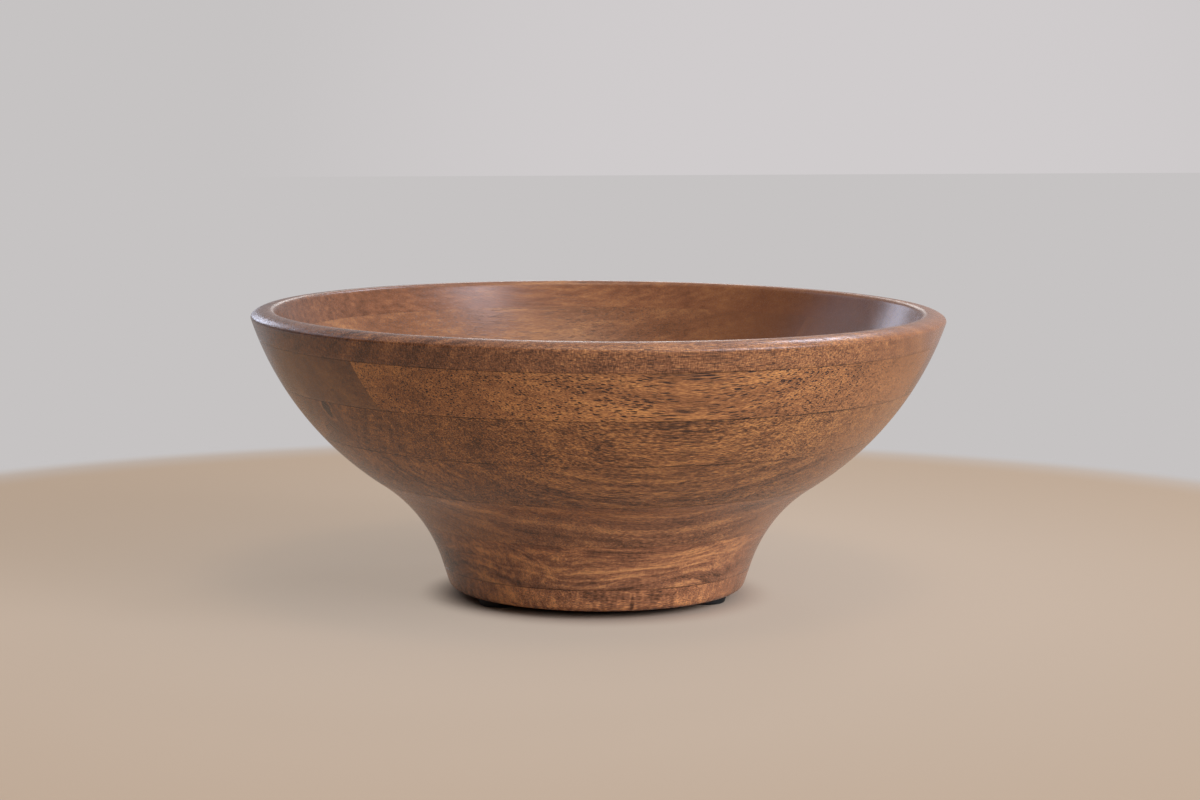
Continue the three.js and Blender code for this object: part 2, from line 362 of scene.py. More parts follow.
def dished_board(path, outer, inner, edges):
    """A board of the course that the hollow's floor dips into. Its top starts at the point of the joint
    beside the axis: straight rows run from there to the edge of the dish, at the hollow's height for
    their distance from the axis, and the rows beyond are circles."""
    joint = edges[0][0]
    reach = inner[1:]
    ring = carry_round(np.vstack((reach[:1], inner[:1], outer[::-1])), edges)
    columns = len(ring)
    pole = np.array((0, joint, 0))
    straight_rows = len(reach) + 2
    share = np.linspace(0, 1, straight_rows + 2)[1:-1, None]
    spread = pole + share * (ring[:, :1] - pole)
    spread[..., 2] = np.interp(np.hypot(spread[..., 0], spread[..., 1]), path[::-1, 0], path[::-1, 1])
    grid = np.concatenate((spread, ring), axis=1)[:, ::-1]
    row_count = grid.shape[1]
    pole[2] = np.interp(abs(joint), path[::-1, 0], path[::-1, 1])
    last = columns * row_count
    top = np.arange(columns - 1) * row_count + row_count - 1
    fan = np.stack((top, top + row_count, np.full_like(top, last)), axis=-1)
    under = (np.arange(columns) * row_count)[::-1]
    first = np.arange(row_count)
    end = np.concatenate((first, [last], (columns - 1) * row_count + first[::-1]))
    faces = [quads(columns, row_count), fan, under[None], end[None]]
    return np.vstack((grid.reshape(-1, 3), pole)), faces


def disc_board(outer):
    """A board under the hollow: the outer rows carried all the way round, with flat faces above and
    below."""
    grid = carry_round(outer, None)
    columns, row_count = grid.shape[:2]
    under = (np.arange(columns) * row_count)[::-1]
    over = np.arange(columns) * row_count + row_count - 1
    return grid.reshape(-1, 3), [quads(columns, row_count, closed_columns=True), under[None], over[None]]


def make_piece(name, points, faces, material):
    """A mesh object at the origin, which rides on the bowl. Its faces are smooth, with sharp edges where
    they meet at more than SHARP_EDGE."""
    mesh = bpy.data.meshes.new(name)
    mesh.from_pydata(points.tolist(), [], [face for group in faces for face in group.tolist()])
    if mesh.validate():
        raise RuntimeError(f"{name} has faces that had to be mended")
    mesh.polygons.foreach_set("use_smooth", np.ones(len(mesh.polygons), bool))
    mesh.set_sharp_from_angle(angle=SHARP_EDGE)
    mesh.materials.append(material)
    piece = bpy.data.objects.new(name, mesh)
    bpy.context.scene.collection.objects.link(piece)
    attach(piece, "root")
    return piece


# The kinds of node that are added most
MATH, VECTOR, MIX = "ShaderNodeMath", "ShaderNodeVectorMath", "ShaderNodeMix"
NOISE, RANGE = "ShaderNodeTexNoise", "ShaderNodeMapRange"


def new_material(name):
    material = bpy.data.materials.new(name)
    material.use_nodes = True
    material.node_tree.nodes.clear()
    return material


def add(tree, kind, inputs=(), out=0, **settings):
    """Adds a node with its settings, fills its inputs with values or links them to other nodes' outputs,
    and returns one of its outputs."""
    made = tree.nodes.new(kind)
    for key, value in settings.items():
        setattr(made, key, value)
    for socket, value in dict(inputs).items():
        if isinstance(value, bpy.types.NodeSocket):
            tree.links.new(value, made.inputs[socket])
        else:
            made.inputs[socket].default_value = value
    return made.outputs[out] if len(made.outputs) else made


# How each course was sawn, and how its wood looks:
# heart: where the heart of the log lay from the course's middle, along Y and upwards (mm)
# band: how far apart the growth bands are (mm)
# bands, pores, grit, streaks, patches, flecks: how strongly each pattern shows; grit is the fibres' own
# fleck: how wide and how high a fleck is (mm)
# waves: how far bundles of fibres wander sideways (mm)
# painted_side_light: painted light and shade along X, how much lighter the wood is painted from the middle
# of the bowl to its end at +X, darker where it is negative
# ends: how much darker it is where the surface cuts across the fibres
# tones_and_painted_shade: each board's colour against the course's, as one factor or one each for red,
# green and blue. The darker side and rear boards of the wall and rim, and the bluer cast of the wall's left
# and rear ones, are partly painted shade and painted sheen
# lively: how clearly each board's patterns and glue lines show
GRAIN = {
    "foot": dict(
        heart=(30, -60), band=9.0, bands=0.6, pores=0.4, grit=1.4, streaks=0.6, patches=0.8,
        flecks=0.9, fleck=(2.4, 14.0), waves=5, painted_side_light=0.03, ends=0.16, tones_and_painted_shade=(1.0,), lively=(1.0,),
    ),
    "base": dict(
        heart=(-34, -60), band=7.0, bands=1.2, pores=0.35, grit=1.0, streaks=1.2, patches=1.1,
        flecks=0.3, fleck=(1.1, 7.0), waves=16, painted_side_light=0.07, ends=0.16, tones_and_painted_shade=(1.0, 0.94), lively=(1.0, 0.6),
    ),
    "cove": dict(
        heart=(-20, -70), band=6.5, bands=0.6, pores=0.4, grit=1.2, streaks=0.65, patches=0.6,
        flecks=0.3, fleck=(1.1, 7.0), waves=12, painted_side_light=-0.06, ends=0.0, tones_and_painted_shade=(1.0, 1.05), lively=(1.0, 0.6),
    ),
    "belly": dict(
        heart=(60, -50), band=5.0, bands=0.7, pores=0.7, grit=1.7, streaks=0.95, patches=0.6,
        flecks=0.3, fleck=(1.1, 7.0), waves=7, painted_side_light=0.04, ends=0.0, tones_and_painted_shade=(1.0, 0.95), lively=(1.0, 0.6),
    ),
    "shoulder": dict(
        heart=(10, 70), band=6.0, bands=0.5, pores=0.8, grit=2.0, streaks=0.9, patches=0.3,
        flecks=0.2, fleck=(1.1, 7.0), waves=3, painted_side_light=0.08, ends=0.0,
        tones_and_painted_shade=(1.0, 0.93, 0.97, 0.95), lively=(1.0, 0.6, 0.6, 0.5),
    ),
    "wall": dict(
        heart=(40, -90), band=8.0, bands=0.4, pores=1.15, grit=1.1, streaks=0.5, patches=0.6,
        flecks=0.1, fleck=(1.1, 7.0), waves=2, painted_side_light=-0.02, ends=0.0,
        # The side and rear boards are darker, and the left and rear ones bluer, partly by their own colour
        # and partly as painted shade and painted sheen on the left outside and on the inside
        tones_and_painted_shade=(1.0, (0.6, 0.64, 0.76), 0.74, (0.7, 0.72, 0.84)), lively=(1.0, 0.6, 0.6, 0.4),
    ),
    "rim": dict(
        heart=(-30, 60), band=6.0, bands=0.5, pores=0.6, grit=1.2, streaks=0.6, patches=0.3,
        flecks=0.8, fleck=(0.5, 3.5), waves=3, painted_side_light=0.13, ends=0.1,
        # The side and rear boards are darker partly by their own colour and partly as painted shade on the
        # left outside and on the inside at the right
        tones_and_painted_shade=(1.0, 0.85, 0.9, 0.9), lively=(1.0, 0.6, 0.5, 0.3),
    ),
}

# Marks in a board, each round a level axis: azimuth from the front towards the right (degrees), height
# above the table, radius of the dark core, reach of the rings round it (mm), how dark the core is, how
# strong the rings are, and how much taller than wide it is. The first is a knot, the second a crack.
MARKS = {
    ("shoulder", 0): dict(azimuth=-69.5, height=90, core=1.7, reach=14, dark=1.3, rings=0.8, tall=1.5),
    ("foot", 0): dict(azimuth=-1.3, height=7.5, core=0.8, reach=3, dark=0.35, rings=0.0, tall=4.0),
}
# How often a mark's outline wavers and its rings come, per millimetre, between which parts of its radius
# the core fades out, and how the rings' noise is stretched to run from dark to light
MARK_WAVERS, MARK_RINGS = 0.12, 0.45
MARK_CORE = (0.6, 1.4)
MARK_CONTRAST, MARK_LEVEL = 2.4, -0.85

# The patterns in the wood and along the glue: how long their waves are along the grain, across it and
# upwards (mm), how many finer octaves lie on them, and how strong these are. Real fibres are a fiftieth
# of a millimetre wide, too fine to show, so they are drawn as coarser bundles.
WAVES = {
    "sway": ((90, 45, 45), 2.0, 0.5),
    "streak": ((24, 2.8, 2.0), 3.0, 0.55),
    "patch": ((38, 26, 20), 2.0, 0.5),
    "fibre": ((2.6, 0.37, 0.37), 2.0, 0.5),
    "pore crowd": ((50, 7, 7), 2.0, 0.5),
    "glue width": ((14, 14, 200), 2.0, 0.5),
    "glue gap": ((60, 60, 400), 1.0, 0.5),
}
FLECK_DETAIL = 1.0
RING_DETAIL, RING_ROUGHNESS = 3.0, 0.6

# Each board comes from its own place in the tree, up to this far away in each direction (mm)
LOG_REACH = 400
# How much the growth rings change along the grain, against one across it
LOG_TAPER = 0.06
# Distance from the axis at which a course reaches its whole painted light and shade along X (mm)
PAINTED_SIDE_LIGHT_REACH = 150

# From how squarely the surface cuts the fibres to how open the grain is, and how much squarer the cut
# counts towards +X
CUT_SHIFT = 0.2
CLOSING = {"From Min": 0.65, "From Max": 1.0, "To Min": 1.0, "To Max": 0.3}

# The darkest and the lightest wood: how light it has to be, and how much of the mean colour it has.
# Light wood is also yellower, by factors for red, green and blue.
DARKEST, LIGHTEST = (0.1, 0.25), (0.9, 2.2)
LIGHT_CAST = (1.0, 1.12, 0.9)

# Wide pores and finer ones among them, as (size, strength), and in parts of their pitch how much wider
# they grow where they crowd, how far from its middle a pore is dark, and where it ends
PORE_SETS = ((1.0, 1.0), (0.65, 0.8))
PORE_CROWDING = 0.16
PORE_DARK, PORE_END = 0.14, 0.23

# How much glue shows on each glue plane from the foot up; there is none at the two ends
GLUE_LINES = (0, 0.85, 0.3, 0.55, 0.8, 0.95, 0.65, 0)
# How far from its plane the glue is dark and where it ends, from thin to swollen (mm), and how much of
# it shows, from broken to whole
GLUE_DARK = 0.05
GLUE_WIDTH = {"From Min": 0.35, "From Max": 0.65, "To Min": 0.15, "To Max": 0.45}
GLUE_KEPT = {"From Min": 0.35, "From Max": 0.55, "To Min": 0.25, "To Max": 1.0}

# The oiled surface: depth of the pores, height of the fibres against it, how strongly both show, how much
# duller the pores are than the wood between them, and the oil's index of refraction
PORE_DEPTH = 0.12 * MM
FIBRE_RELIEF = 0.25
RELIEF_STRENGTH = 0.5
PORE_DULLNESS = 0.25
OIL_IOR = 1.47

# The rubber: size, depth and strength of its pits, size of its dusty places, how dark, light and rough
# they make it, and its index of refraction
RUBBER_PIT, RUBBER_PIT_DEPTH, RUBBER_PIT_STRENGTH = 0.8 * MM, 0.05 * MM, 0.3
RUBBER_DUST = 5 * MM
RUBBER_SHADES = (0.7, 1.5)
RUBBER_DULLNESS = {"To Min": 0.5, "To Max": 0.75}
RUBBER_IOR = 1.52


def shade(tone, factor):
    """A colour whose red, green and blue are multiplied by a factor, up to full light."""
    return tuple(min(channel * factor, 1.0) for channel in tone[:3]) + (1.0,)


def marked(tree, wood, light, mark):
    """Darkens the wood in the core of a mark and lays rings round it, which fade with the distance from
    the mark's axis. The axis runs level, away from the axis that the bowl was turned about."""
    turn = math.radians(mark["azimuth"])
    way = (math.sin(turn), -math.cos(turn), 0)
    from_mark = add(tree, VECTOR, {0: wood, 1: (0, 0, mark["height"])}, operation="SUBTRACT")
    across = add(tree, VECTOR, {0: from_mark, 1: way}, operation="CROSS_PRODUCT")
    uneven = add(tree, NOISE, {"Vector": wood, "Scale": MARK_WAVERS, "Detail": 2.0}, out=1)
    centred = add(tree, VECTOR, {0: uneven, 1: (0.5, 0.5, 0.5)}, operation="SUBTRACT")
    shake = mark["reach"] / 2
    shaken = add(tree, VECTOR, {0: centred, 1: (shake, shake, shake), 2: across}, operation="MULTIPLY_ADD")
    # The cross product turns heights into level lengths and the other way round
    tall = 1 / mark["tall"]
    squeezed = add(tree, VECTOR, {0: shaken, 1: (tall, tall, 1)}, operation="MULTIPLY")
    away = add(tree, VECTOR, {0: squeezed}, out=1, operation="LENGTH")
    rings = add(tree, NOISE, {"W": away, "Scale": MARK_RINGS, "Detail": 2.0}, noise_dimensions="1D")
    near = add(tree, RANGE, {
        "Value": away, "From Min": mark["core"], "From Max": mark["reach"], "To Min": mark["rings"],
        "To Max": 0.0,
    })
    ringed = add(tree, MATH, {0: rings, 1: MARK_CONTRAST, 2: MARK_LEVEL}, operation="MULTIPLY_ADD")
    bent = add(tree, MIX, {0: near, 2: light, 3: ringed})
    core = add(tree, RANGE, {
        "Value": away, "From Min": MARK_CORE[0] * mark["core"], "From Max": MARK_CORE[1] * mark["core"],
        "To Min": mark["dark"], "To Max": 0.0,
    })
    return add(tree, MATH, {0: bent, 1: core}, operation="SUBTRACT")


def figure_waves(tree, place, size, detail, rough=0.5, out=0):
    """Uneven light and dark in waves of a given size: noise at a place that is divided by the size, axis
    by axis, all in millimetres."""
    stretched = add(tree, VECTOR, {0: place, 1: tuple(1 / reach for reach in size)}, operation="MULTIPLY")
    return add(
        tree, NOISE, {"Vector": stretched, "Scale": 1.0, "Detail": detail, "Roughness": rough}, out=out
    )


def fibre_sway(tree, place, reach):
    """How far the fibres have wandered sideways at a place, because the grain is not quite straight:
    slow waves about zero, none of it along the grain."""
    bend = figure_waves(tree, place, *WAVES["sway"], out=1)
    centred = add(tree, VECTOR, {0: bend, 1: (0.5, 0.5, 0.5)}, operation="SUBTRACT")
    amount = reach * 2.0  # the noise reaches half a unit to either side
    return add(tree, VECTOR, {0: centred, 1: (0, amount, amount)}, operation="MULTIPLY")


def growth_rings(tree, place, heart, band):
    """Bands of uneven darkness by distance from the heart of the log, which runs almost along the
    grain."""
    from_heart = add(tree, VECTOR, {0: place, 1: heart}, operation="SUBTRACT")
    across = add(tree, VECTOR, {0: from_heart, 1: (LOG_TAPER, 1, 1)}, operation="MULTIPLY")
    distance = add(tree, VECTOR, {0: across}, out=1, operation="LENGTH")
    rings = {"W": distance, "Scale": 1 / band, "Detail": RING_DETAIL, "Roughness": RING_ROUGHNESS}
    return add(tree, NOISE, rings, noise_dimensions="1D")


def grain_openness(tree, wood):
    """How open the grain is. Where the surface cuts across the fibres, at +X and -X, their ends drink
    more oil, which closes the grain and evens its colour. The +X side was sanded finer, so there it
    starts nearer the front."""
    level = add(tree, VECTOR, {0: wood, 1: (1, 1, 0)}, operation="MULTIPLY")
    outwards = add(tree, VECTOR, {0: level}, operation="NORMALIZE")
    along = add(tree, "ShaderNodeSeparateXYZ", {0: outwards})
    uneven = add(tree, MATH, {0: along, 1: CUT_SHIFT}, operation="ADD")
    cut = add(tree, MATH, {0: uneven}, operation="ABSOLUTE")
    return add(tree, RANGE, {"Value": cut, **CLOSING})


def open_pores(tree, finish, fibre_place, strength):
    """Pores that the turning cut open: long thin bodies, one in each cell of a lattice that is stretched
    along the grain, and larger where they crowd. Real ones are about 0.2 mm wide, too fine to show, so
    they are drawn about twice as wide."""
    pitch, reach = finish.pore_pitch / MM, finish.pore_length / MM
    crowd = figure_waves(tree, fibre_place, *WAVES["pore crowd"])
    pores = None
    for fineness, share in PORE_SETS:
        cell = (1 / (reach * fineness), 1 / (pitch * fineness), 1 / (pitch * fineness))
        lattice = add(tree, VECTOR, {0: fibre_place, 1: cell}, operation="MULTIPLY")
        nearest = add(tree, "ShaderNodeTexVoronoi", {"Vector": lattice, "Scale": 1.0, "Randomness": 1.0})
        thin = add(tree, MATH, {0: crowd, 1: -PORE_CROWDING, 2: nearest}, operation="MULTIPLY_ADD")
        mask = add(tree, RANGE, {
            "Value": thin, "From Min": PORE_DARK, "From Max": PORE_END, "To Min": share * strength,
            "To Max": 0.0,
        })
        pores = mask if pores is None else add(tree, MATH, {0: pores, 1: mask}, operation="MAXIMUM")
    return pores


def glue_film(tree, wood, planes):
    """The glue lines: on each plane, given as its height and how much glue shows, a thin dark film that
    swells and thins, and in places is nearly gone."""
    height = add(tree, "ShaderNodeSeparateXYZ", {0: wood}, out=2)
    width = add(tree, RANGE, {"Value": figure_waves(tree, wood, *WAVES["glue width"]), **GLUE_WIDTH})
    kept = add(tree, RANGE, {"Value": figure_waves(tree, wood, *WAVES["glue gap"]), **GLUE_KEPT})
    film = None
    for plane, strength in planes:
        off = add(tree, MATH, {0: height, 1: plane / MM}, operation="SUBTRACT")
        near = add(tree, MATH, {0: off}, operation="ABSOLUTE")
        line = add(tree, RANGE, {
            "Value": near, "From Min": GLUE_DARK, "From Max": width, "To Min": strength, "To Max": 0.0,
        })
        film = line if film is None else add(tree, MATH, {0: film, 1: line}, operation="MAXIMUM")
    return add(tree, MATH, {0: film, 1: kept}, operation="MULTIPLY")


def oiled_wood(finish, course, index, low, high):
    """Mango wood, sanded and oiled: an open-pored tropical hardwood. Long dark pores lie along the
    grain, so they show as dashes where the surface runs with the grain and as dots where it cuts
    across it. Dark and orange bands follow the growth rings, and the oil leaves a soft sheen that the
    pores interrupt. Coordinates are millimetres in the solid wood, with the grain along X."""
    number, side = list(COURSES).index(course), COURSES[course][index] or "slab"
    grain, lively = GRAIN[course], GRAIN[course]["lively"][index]
    material = new_material(f"oiled_mango_wood_{course}_{side}")
    tree = material.node_tree
    rng = np.random.default_rng([number, index])
    tone = tuple(getattr(finish, course) * np.append(np.ones(3) * grain["tones_and_painted_shade"][index], 1))

    place = add(tree, "ShaderNodeTexCoord", out=3)
    wood = add(tree, VECTOR, {0: place, 3: 1 / MM}, operation="SCALE")
    in_the_tree = tuple(rng.uniform(-LOG_REACH, LOG_REACH, 3))
    shifted = add(tree, VECTOR, {0: wood, 1: in_the_tree})
    sway = fibre_sway(tree, shifted, grain["waves"])
    fibre_place = add(tree, VECTOR, {0: shifted, 1: sway})
    ring_place = add(tree, VECTOR, {0: wood, 1: sway})
    heart = (0, grain["heart"][0], (low + high) / 2 / MM + grain["heart"][1])
    ring = growth_rings(tree, ring_place, heart, grain["band"])
    fibre = figure_waves(tree, fibre_place, *WAVES["fibre"])
    wide, tall = grain["fleck"]
    fleck = figure_waves(tree, fibre_place, (wide, wide, tall), FLECK_DETAIL)
    open_grain = grain_openness(tree, wood)

    # All the patterns together say how light the wood is, around a half
    bands = lively * grain["bands"]
    light = add(tree, MATH, {0: ring, 1: bands, 2: 0.5 - 0.5 * bands}, operation="MULTIPLY_ADD")
    for pattern, weight in (
        (figure_waves(tree, fibre_place, *WAVES["streak"]), grain["streaks"]),
        (figure_waves(tree, fibre_place, *WAVES["patch"]), grain["patches"]),
        (fibre, lively * grain["grit"]),
        (fleck, lively ** 2 * grain["flecks"]),
    ):
        centred = add(tree, MATH, {0: pattern, 1: 0.5}, operation="SUBTRACT")
        light = add(tree, MATH, {0: centred, 1: weight, 2: light}, operation="MULTIPLY_ADD")

    # Closed grain is plainer and darker, and each course gets painted light and shade, a gradient along X
    about_mean = add(tree, MATH, {0: light, 1: 0.5}, operation="SUBTRACT")
    along = add(tree, "ShaderNodeSeparateXYZ", {0: wood})
    ends, painted_side_light = grain["ends"], grain["painted_side_light"] / PAINTED_SIDE_LIGHT_REACH
    light = add(tree, MATH, {0: about_mean, 1: open_grain, 2: 0.5 - ends}, operation="MULTIPLY_ADD")
    light = add(tree, MATH, {0: open_grain, 1: ends, 2: light}, operation="MULTIPLY_ADD")
    light = add(tree, MATH, {0: along, 1: painted_side_light, 2: light}, operation="MULTIPLY_ADD")
    if (course, index) in MARKS:
        light = marked(tree, wood, light, MARKS[course, index])
    figure = add(tree, "ShaderNodeValToRGB", {0: light})
    stops = figure.node.color_ramp.elements
    stops[0].position, stops[0].color = DARKEST[0], shade(tone, DARKEST[1])
    stops[1].position, stops[1].color = LIGHTEST[0], shade(np.multiply(tone[:3], LIGHT_CAST), LIGHTEST[1])
    stops.new(0.5).color = tone

    pores = open_pores(tree, finish, fibre_place, lively * grain["pores"])
    pores = add(tree, MATH, {0: pores, 1: open_grain}, operation="MULTIPLY")
    strengths = (lively ** 2 * strength for strength in GLUE_LINES[number:number + 2])
    film = glue_film(tree, wood, zip((low, high), strengths))
    film = add(tree, MATH, {0: film, 1: open_grain}, operation="MULTIPLY")
    pored = add(tree, MIX, {0: pores, 6: figure, 7: tuple(finish.pore)}, out=2, data_type="RGBA")
    colored = add(tree, MIX, {0: film, 6: pored, 7: tuple(finish.glue_film)}, out=2, data_type="RGBA")
    dent = add(tree, MATH, {0: pores, 1: -1.0, 2: 1.0}, operation="MULTIPLY_ADD")
    relief = add(tree, MATH, {0: fibre, 1: FIBRE_RELIEF, 2: dent}, operation="MULTIPLY_ADD")
    normal = add(tree, "ShaderNodeBump", {
        "Strength": RELIEF_STRENGTH, "Distance": PORE_DEPTH, "Height": relief,
    })
    satin = add(tree, MATH, {0: pores, 1: PORE_DULLNESS, 2: finish.roughness}, operation="MULTIPLY_ADD")
    surface = add(tree, "ShaderNodeBsdfPrincipled", {
        "Base Color": colored, "Roughness": satin, "Normal": normal, "IOR": OIL_IOR,
    })
    add(tree, "ShaderNodeOutputMaterial", {"Surface": surface})
    return material


def moulded_rubber(pads):
    """Soft black rubber, moulded: dark, matt and finely grained, with a little dust."""
    material = new_material("moulded_black_rubber")
    tree = material.node_tree
    place = add(tree, "ShaderNodeTexCoord", out=3)
    pits = add(tree, NOISE, {"Vector": place, "Scale": 1 / RUBBER_PIT, "Detail": 2.0})
    dust = add(tree, NOISE, {"Vector": place, "Scale": 1 / RUBBER_DUST, "Detail": 2.0})
    dark, light = (shade(pads.rubber, factor) for factor in RUBBER_SHADES)
    tint = add(tree, MIX, {0: dust, 6: dark, 7: light}, out=2, data_type="RGBA")
    rough = add(tree, RANGE, {"Value": dust, **RUBBER_DULLNESS})
    normal = add(tree, "ShaderNodeBump", {
        "Strength": RUBBER_PIT_STRENGTH, "Distance": RUBBER_PIT_DEPTH, "Height": pits,
    })
    surface = add(tree, "ShaderNodeBsdfPrincipled", {
        "Base Color": tint, "Roughness": rough, "Normal": normal, "IOR": RUBBER_IOR,
    })
    add(tree, "ShaderNodeOutputMaterial", {"Surface": surface})
    return material


def turn_course(context, course):
    """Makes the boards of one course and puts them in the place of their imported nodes."""
    sizes, finish = context.scene.bowl_turning, context.scene.bowl_wood
    heights = glue_heights()
    lift, number = heights[0], list(COURSES).index(course)
    low, high = heights[number] - lift, heights[number + 1] - lift
    total = heights[-1] - lift
    path, crest = turned_path(sizes, total)
    outer, inner = course_rows(sizes, path, crest, low, high, total)
    for index, (side, node) in enumerate(zip(COURSES[course], nodes_of(course))):
        edges = board_edges(course, side)
        if inner is None:
            points, faces = disc_board(outer)
        elif low < path[-1, 1]:
            points, faces = dished_board(path, outer, inner, edges)
        else:
            points, faces = ring_board(outer, inner, edges)
        points[:, 2] += lift
        material = oiled_wood(finish, course, index, low + lift, high + lift)
        piece = make_piece(node.replace("_board", "_wood"), points, faces, material)
        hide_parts(node)


def mould_pads(context):
    """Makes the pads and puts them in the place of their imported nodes. Each is a profile, round the edge
    at the table and up the taper, carried round the pad's own axis, with flat faces below and above."""
    pads = context.scene.bowl_pads
    material = moulded_rubber(pads)
    for side in PADS:
        node = f"foot_pad_{side}"
        low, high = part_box(node)
        small = pads.radius - pads.taper
        edge = (np.array((small - pads.edge_round, pads.edge_round)), pads.edge_round)
        profile = np.vstack((arc(edge, -math.pi / 2, 0), (pads.radius, high.z)))
        points, faces = disc_board(profile)
        points += (*((low + high) / 2).xy, 0)
        piece = make_piece(f"foot_rubber_{side}", points, faces, material)
        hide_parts(node)


class BOWL_OT_turn_foot(bpy.types.Operator):
    """Turn the lowest board, which the bowl stands on"""

    bl_idname = "bowl.turn_foot"
    bl_label = "Foot Board"
    bl_options = {"REGISTER", "UNDO"}

    def execute(self, context):
        turn_course(context, "foot")
        return {"FINISHED"}


class BOWL_OT_turn_base(bpy.types.Operator):
    """Turn the two boards that hold the floor of the hollow"""

    bl_idname = "bowl.turn_base"
    bl_label = "Base Boards"
    bl_options = {"REGISTER", "UNDO"}

    def execute(self, context):
        turn_course(context, "base")
        return {"FINISHED"}


class BOWL_OT_turn_cove(bpy.types.Operator):
    """Turn the two boards round the narrow cove"""

    bl_idname = "bowl.turn_cove"
    bl_label = "Cove Boards"
    bl_options = {"REGISTER", "UNDO"}

    def execute(self, context):
        turn_course(context, "cove")
        return {"FINISHED"}


class BOWL_OT_turn_belly(bpy.types.Operator):
    """Turn the two boards where the belly swells out"""

    bl_idname = "bowl.turn_belly"
    bl_label = "Belly Boards"
    bl_options = {"REGISTER", "UNDO"}

    def execute(self, context):
        turn_course(context, "belly")
        return {"FINISHED"}


class BOWL_OT_turn_shoulder(bpy.types.Operator):
    """Turn the four boards of the shoulder, between belly and wall"""

    bl_idname = "bowl.turn_shoulder"
    bl_label = "Shoulder Boards"
    bl_options = {"REGISTER", "UNDO"}

    def execute(self, context):
        turn_course(context, "shoulder")
        return {"FINISHED"}


class BOWL_OT_turn_wall(bpy.types.Operator):
    """Turn the four boards of the wall under the rim"""

    bl_idname = "bowl.turn_wall"
    bl_label = "Wall Boards"
    bl_options = {"REGISTER", "UNDO"}

    def execute(self, context):
        turn_course(context, "wall")
        return {"FINISHED"}


class BOWL_OT_turn_rim(bpy.types.Operator):
    """Turn the four boards of the rim, with its rounded lip"""

    bl_idname = "bowl.turn_rim"
    bl_label = "Rim Boards"
    bl_options = {"REGISTER", "UNDO"}

    def execute(self, context):
        turn_course(context, "rim")
        return {"FINISHED"}


class BOWL_OT_stick_pads(bpy.types.Operator):
    """Mould the rubber pads and stick them under the foot"""

    bl_idname = "bowl.stick_pads"
    bl_label = "Rubber Pads"
    bl_options = {"REGISTER", "UNDO"}

    def execute(self, context):
        mould_pads(context)
        return {"FINISHED"}


class BOWL_OT_set_stage(bpy.types.Operator):
    """Set up the camera, the floor, the background and the soft lamps"""

    bl_idname = "bowl.set_stage"
    bl_label = "Stage"
    bl_options = {"REGISTER", "UNDO"}

    def execute(self, context):
        stage = context.scene.bowl_stage
        set_camera(context, stage)
        set_floor(context, stage)
        set_world(context, stage)
        set_lamps(context, stage)
        context.scene.view_settings.view_transform = "Standard"
        return {"FINISHED"}


# The camera's sensor, and the nearest that it sees (m)
SENSOR_MM = 36
NEAREST_SEEN = 0.05

# The floor reaches this far to each side (m), and fades into the backdrop between these parts of its
# reach
FLOOR_HALF = 4.0
FLOOR_FADE = (0.93, 1.07)
# By distance from the bowl's axis: how much of its colour the floor has, which is hardly any under the
# foot, where this is painted shadow, and how much of what the camera and reflections see there is a glow,
# which is painted light that lifts the floor's shadow round the foot
FLOOR_PAINTED_SHADOW = {"From Min": 46 * MM, "From Max": 60 * MM, "To Min": 0.1, "To Max": 1.0}
FLOOR_PAINTED_LIGHT = {"From Min": 58 * MM, "From Max": 80 * MM, "To Max": 0.6}
# The colours of the glow near the bowl, where it is painted light, and away from it, and where one turns
# into the other (m)
GLOW_NEAR, GLOW_AWAY = "cdbeb0", "bfa994"
GLOW_TURN = {"From Min": 0.06, "From Max": 0.5}
FLOOR_ROUGHNESS = 0.4

# The room: colour, the direction of its brightest wall (azimuth and elevation in degrees, as for the
# lamps), and how its strength grows towards there
ROOM_COLOR = "e3e4ea"
ROOM_BRIGHTEST = (170, 12)
ROOM_STRENGTH = {"From Min": -0.1, "To Min": 0.05, "To Max": 0.6}
# The paler place in the middle of the backdrop: colour, direction and reach
PALER_COLOR = "d0cccd"
PALER_MIDDLE = (175, -2)
PALER_REACH = math.radians(13)

# Soft lamps: azimuth from the camera towards the right and elevation in degrees, distance and side in
# metres, power in watts, and colour. They aim at a point on the bowl's axis.
LAMPS = {
    "key": (53, 20, 2.0, 1.3, 35, "eaf0ff"),
    "front": (24, 14, 2.2, 0.8, 3, "fff0e0"),
    "glint": (20, 70, 2.2, 0.6, 6, "ffdcb4"),
    "corner": (54, 42, 2.2, 0.6, 5.5, "d8e6ff"),
    "overhead": (60, 72, 2.0, 2.4, 17, "fdf4ea"),
    "window": (-118, 34, 1.8, 0.9, 2.6, "d4e4ff"),
    "doorway": (-150, 15, 1.8, 0.5, 2.6, "dce6ff"),
    "skylight": (150, 45, 2.0, 0.4, 5, "e2ebff"),
    "back": (180, 18, 2.0, 0.4, 1.2, "f6f4f2"),
}
LAMP_AIM = (0, 0, 70 * MM)


def set_camera(context, stage):
    """The camera looks level at the bowl's axis and is then turned by its aim, pitch and roll."""
    lens = bpy.data.cameras.new("camera")
    lens.lens = stage.focal_length
    lens.sensor_width = SENSOR_MM
    lens.clip_start = NEAREST_SEEN
    camera = bpy.data.objects.new("camera", lens)
    context.scene.collection.objects.link(camera)
    azimuth = stage.view_azimuth
    place = Vector((math.sin(azimuth), -math.cos(azimuth), 0)) * stage.camera_distance
    place.z = stage.camera_height
    camera.matrix_world = (
        Matrix.Translation(place)
        @ Matrix.Rotation(azimuth - stage.camera_aim, 4, "Z")
        @ Matrix.Rotation(math.pi / 2 - stage.camera_pitch, 4, "X")
        @ Matrix.Rotation(stage.camera_roll, 4, "Z")
    )
    context.scene.camera = camera


